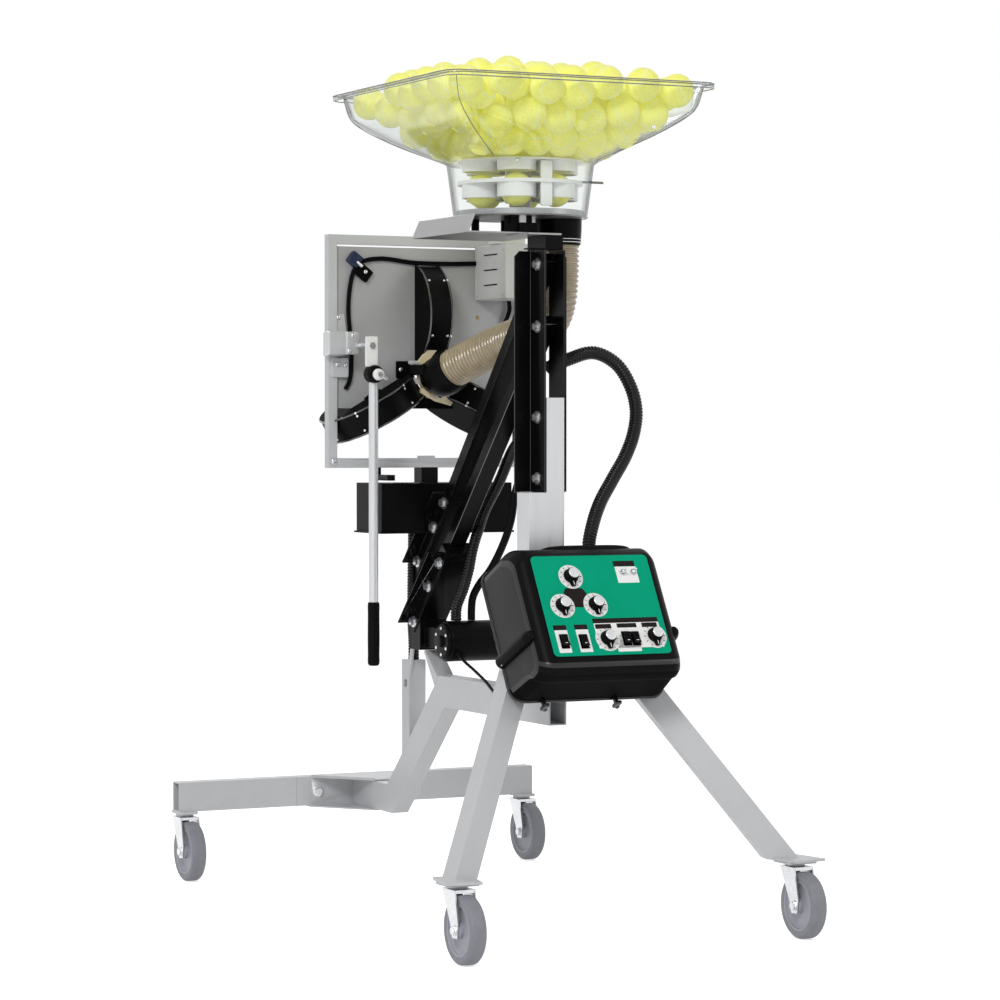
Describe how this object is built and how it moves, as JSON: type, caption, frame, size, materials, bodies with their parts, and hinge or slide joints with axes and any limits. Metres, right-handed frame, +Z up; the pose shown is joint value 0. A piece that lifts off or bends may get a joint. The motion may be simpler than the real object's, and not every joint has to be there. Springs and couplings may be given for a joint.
{
  "type": "ball throwing machine",
  "caption": "Wheeled ball-throwing machine: clear hopper, ribbed feed hose, three-wheel head in a swinging frame, tilted control box, Y-shaped base on swivel casters.",
  "frame": {"origin": "on the floor under the middle of the whole machine", "axes": "+Z up, +Y the way the balls fly, +X to the operator's right"},
  "size_m": [0.862, 1.399, 1.639],
  "materials": {
    "grey_paint": "light grey powder coat",
    "silver_tube": "satin",
    "black_paint": "satin black powder coat",
    "black_moulded": "lightly grained",
    "black_rubber": "matt",
    "caster_tread": "grey, matt",
    "zinc": "bright zinc",
    "clear_plastic": "clear",
    "white_plastic": "semi-gloss",
    "hose_tan": "translucent tan with wire ribs",
    "panel_green": null
  },
  "bodies": {
    "base": {"front_receiver": "grey_paint", "front_beam_right": "grey_paint", "front_beam_left": "grey_paint", "base_spine": "grey_paint", "front_support": "grey_paint", "rear_leg_right": "grey_paint", "rear_leg_left": "grey_paint", "feeder_tray": "grey_paint", "mast_post": "silver_tube", "mast_angle_right": "black_paint", "mast_angle_left": "black_paint", "upper_arm": "black_paint", "lower_arm": "black_paint", "front_mast": "black_paint", "tray_bracket": "black_paint", "power_unit": "black_moulded", "oscillation_box": "black_moulded", "feed_floor": "black_moulded", "control_shell": "black_moulded", "control_conduit": "black_rubber", "arm_conduit": "black_rubber", "front_conduit": "black_rubber", "loop_cable": "black_rubber", "power_cable": "black_rubber", "hopper_bin": "clear_plastic", "feed_hose_upper": "hose_tan", "control_panel": "panel_green"},
    "yaw_head": {"head_frame": "grey_paint", "pitch_bracket_right": "zinc", "pitch_bracket_left": "zinc", "feed_hose_lower": "hose_tan"},
    "pitch_head": {"head_plate": "grey_paint", "wheel_housing_1": "black_moulded", "wheel_housing_2": "black_moulded", "wheel_housing_3": "black_moulded", "louvre_box": "grey_paint", "aim_lever": "silver_tube"},
    "feed_carousel": {"carousel": "white_plastic"},
    "thrower_1": {"throwing_wheel_1": "black_rubber"},
    "thrower_2": {"throwing_wheel_2": "black_rubber"},
    "thrower_3": {"throwing_wheel_3": "black_rubber"},
    "fork_rear_left": {"caster_fork_rear_left": "zinc"},
    "wheel_rear_left": {"caster_wheel_rear_left": "caster_tread"},
    "fork_rear_right": {"caster_fork_rear_right": "zinc"},
    "wheel_rear_right": {"caster_wheel_rear_right": "caster_tread"},
    "fork_front_left": {"caster_fork_front_left": "zinc"},
    "wheel_front_left": {"caster_wheel_front_left": "caster_tread"},
    "fork_front_right": {"caster_fork_front_right": "zinc"},
    "wheel_front_right": {"caster_wheel_front_right": "caster_tread"},
    "dial_1": {"knob_1": "black_moulded"},
    "dial_2": {"knob_2": "black_moulded"},
    "dial_3": {"knob_3": "black_moulded"},
    "dial_4": {"knob_4": "black_moulded"},
    "dial_5": {"knob_5": "black_moulded"},
    "switch_1": {"rocker_1": "black_moulded"},
    "switch_2": {"rocker_2": "black_moulded"},
    "switch_3": {"rocker_3": "black_moulded"},
    "switch_4": {"rocker_4": "black_moulded"},
    "flip_1": {"toggle_1": "zinc"},
    "flip_2": {"toggle_2": "zinc"}
  },
  "joints": [
    {"name": "head_yaw", "type": "hinge", "parent": "base", "child": "yaw_head", "pos_m": [0, 0.304, 0.888], "axis": [0, 0, -1], "range_deg": [-20, 20], "deforming": ["feed_hose_upper"]},
    {"name": "head_pitch", "type": "hinge", "parent": "yaw_head", "child": "pitch_head", "pos_m": [0, 0.28, 1.145], "axis": [1, 0, 0], "range_deg": [-5, 20], "deforming": ["feed_hose_lower"]},
    {"name": "thrower_1_spin", "type": "hinge", "parent": "pitch_head", "child": "thrower_1", "pos_m": [0, 0.335, 1.208], "axis": [-1, 0, 0], "continuous": true},
    {"name": "thrower_2_spin", "type": "hinge", "parent": "pitch_head", "child": "thrower_2", "pos_m": [-0.11085, 0.335, 1.016], "axis": [0.5, 0, -0.866], "continuous": true},
    {"name": "thrower_3_spin", "type": "hinge", "parent": "pitch_head", "child": "thrower_3", "pos_m": [0.11085, 0.335, 1.016], "axis": [0.5, 0, 0.866], "continuous": true},
    {"name": "carousel_turn", "type": "hinge", "parent": "base", "child": "feed_carousel", "pos_m": [0, -0.142, 1.45], "axis": [0, 0, 1], "continuous": true},
    {"name": "swivel_rear_left", "type": "hinge", "parent": "base", "child": "fork_rear_left", "pos_m": [-0.356, -0.604, 0.136], "axis": [0, 0, 1], "continuous": true},
    {"name": "roll_rear_left", "type": "hinge", "parent": "fork_rear_left", "child": "wheel_rear_left", "pos_m": [-0.356, -0.636, 0.0635], "axis": [1, 0, 0], "continuous": true},
    {"name": "swivel_rear_right", "type": "hinge", "parent": "base", "child": "fork_rear_right", "pos_m": [0.356, -0.604, 0.136], "axis": [0, 0, 1], "continuous": true},
    {"name": "roll_rear_right", "type": "hinge", "parent": "fork_rear_right", "child": "wheel_rear_right", "pos_m": [0.356, -0.636, 0.0635], "axis": [1, 0, 0], "continuous": true},
    {"name": "swivel_front_left", "type": "hinge", "parent": "base", "child": "fork_front_left", "pos_m": [-0.405, 0.668, 0.136], "axis": [0, 0, 1], "continuous": true},
    {"name": "roll_front_left", "type": "hinge", "parent": "fork_front_left", "child": "wheel_front_left", "pos_m": [-0.405, 0.636, 0.0635], "axis": [1, 0, 0], "continuous": true},
    {"name": "swivel_front_right", "type": "hinge", "parent": "base", "child": "fork_front_right", "pos_m": [0.405, 0.668, 0.136], "axis": [0, 0, 1], "continuous": true},
    {"name": "roll_front_right", "type": "hinge", "parent": "fork_front_right", "child": "wheel_front_right", "pos_m": [0.405, 0.636, 0.0635], "axis": [1, 0, 0], "continuous": true},
    {"name": "dial_1_turn", "type": "hinge", "parent": "base", "child": "dial_1", "pos_m": [-0.0489, -0.45473, 0.68909], "axis": [0, 0.866, -0.5], "range_deg": [-140, 140]},
    {"name": "dial_2_turn", "type": "hinge", "parent": "base", "child": "dial_2", "pos_m": [-0.0815, -0.48518, 0.63634], "axis": [0, 0.866, -0.5], "range_deg": [-140, 140]},
    {"name": "dial_3_turn", "type": "hinge", "parent": "base", "child": "dial_3", "pos_m": [-0.0114, -0.48498, 0.63669], "axis": [0, 0.866, -0.5], "range_deg": [-140, 140]},
    {"name": "dial_4_turn", "type": "hinge", "parent": "base", "child": "dial_4", "pos_m": [-0.0048, -0.52103, 0.57425], "axis": [0, 0.866, -0.5], "range_deg": [-140, 140]},
    {"name": "dial_5_turn", "type": "hinge", "parent": "base", "child": "dial_5", "pos_m": [0.0967, -0.51943, 0.57702], "axis": [0, 0.866, -0.5], "range_deg": [-140, 140]},
    {"name": "switch_1_tip", "type": "hinge", "parent": "base", "child": "switch_1", "pos_m": [-0.0966, -0.52538, 0.57272], "axis": [1, 0, 0], "range_deg": [-8, 8]},
    {"name": "switch_2_tip", "type": "hinge", "parent": "base", "child": "switch_2", "pos_m": [-0.0559, -0.52603, 0.57159], "axis": [1, 0, 0], "range_deg": [-8, 8]},
    {"name": "switch_3_tip", "type": "hinge", "parent": "base", "child": "switch_3", "pos_m": [0.0354, -0.52428, 0.57462], "axis": [1, 0, 0], "range_deg": [-8, 8]},
    {"name": "switch_4_tip", "type": "hinge", "parent": "base", "child": "switch_4", "pos_m": [0.0545, -0.52458, 0.57411], "axis": [1, 0, 0], "range_deg": [-8, 8]},
    {"name": "flip_1_tip", "type": "hinge", "parent": "base", "child": "flip_1", "pos_m": [0.064, -0.4558, 0.69663], "axis": [1, 0, 0], "range_deg": [-12, 12]},
    {"name": "flip_2_tip", "type": "hinge", "parent": "base", "child": "flip_2", "pos_m": [0.086, -0.4558, 0.69663], "axis": [1, 0, 0], "range_deg": [-12, 12]}
  ]
}
